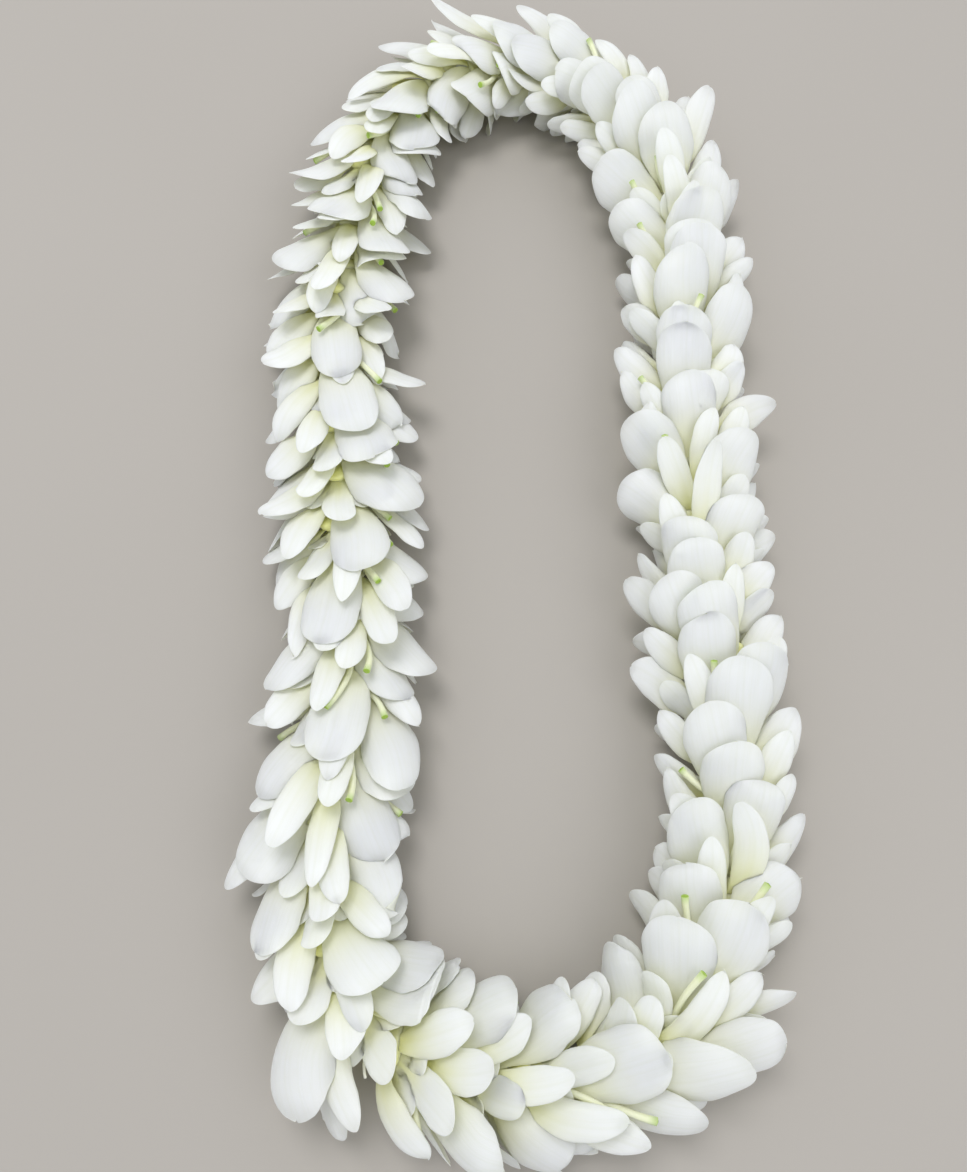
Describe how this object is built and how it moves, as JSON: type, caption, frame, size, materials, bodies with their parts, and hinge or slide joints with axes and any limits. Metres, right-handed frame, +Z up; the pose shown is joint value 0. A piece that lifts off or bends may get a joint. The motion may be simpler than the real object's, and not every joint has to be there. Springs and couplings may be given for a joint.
{
  "type": "flower lei",
  "caption": "Closed loop of white orchid blooms strung close together on a knotted thread, petals overlapping in layers, worn round the neck.",
  "frame": {"origin": "on the surface that the lei lies on, under the middle of its box", "axes": "+Z up from the surface, +Y along the loop's long way, away from the tie, +X across the loop"},
  "size_m": [0.212, 0.489, 0.0447],
  "materials": {
    "white_petals": "soft matte living petal",
    "thread": "twisted cotton"
  },
  "bodies": {
    "root": {"bloom_pair_01": "white_petals", "bloom_pair_02": "white_petals", "bloom_pair_03": "white_petals", "bloom_pair_04": "white_petals", "bloom_pair_05": "white_petals", "bloom_pair_06": "white_petals", "bloom_pair_07": "white_petals", "bloom_pair_08": "white_petals", "bloom_pair_09": "white_petals", "bloom_pair_10": "white_petals", "bloom_pair_11": "white_petals", "bloom_pair_12": "white_petals", "bloom_pair_13": "white_petals", "bloom_pair_14": "white_petals", "bloom_pair_15": "white_petals", "bloom_pair_16": "white_petals", "bloom_pair_17": "white_petals", "bloom_pair_18": "white_petals", "bloom_pair_19": "white_petals", "bloom_pair_20": "white_petals", "bloom_pair_21": "white_petals", "bloom_pair_22": "white_petals", "bloom_pair_23": "white_petals", "bloom_pair_24": "white_petals", "bloom_pair_25": "white_petals", "bloom_pair_26": "white_petals", "bloom_pair_27": "white_petals", "bloom_pair_28": "white_petals", "bloom_pair_29": "white_petals", "bloom_pair_30": "white_petals", "bloom_pair_31": "white_petals", "bloom_pair_32": "white_petals", "bloom_pair_33": "white_petals", "bloom_pair_34": "white_petals", "bloom_pair_35": "white_petals", "bloom_pair_36": "white_petals", "bloom_pair_37": "white_petals", "bloom_pair_38": "white_petals", "bloom_pair_39": "white_petals", "bloom_pair_40": "white_petals", "bloom_pair_41": "white_petals", "bloom_pair_42": "white_petals", "bloom_pair_43": "white_petals", "bloom_pair_44": "white_petals", "bloom_pair_45": "white_petals", "bloom_pair_46": "white_petals", "thread": "thread"}
  },
  "joints": []
}
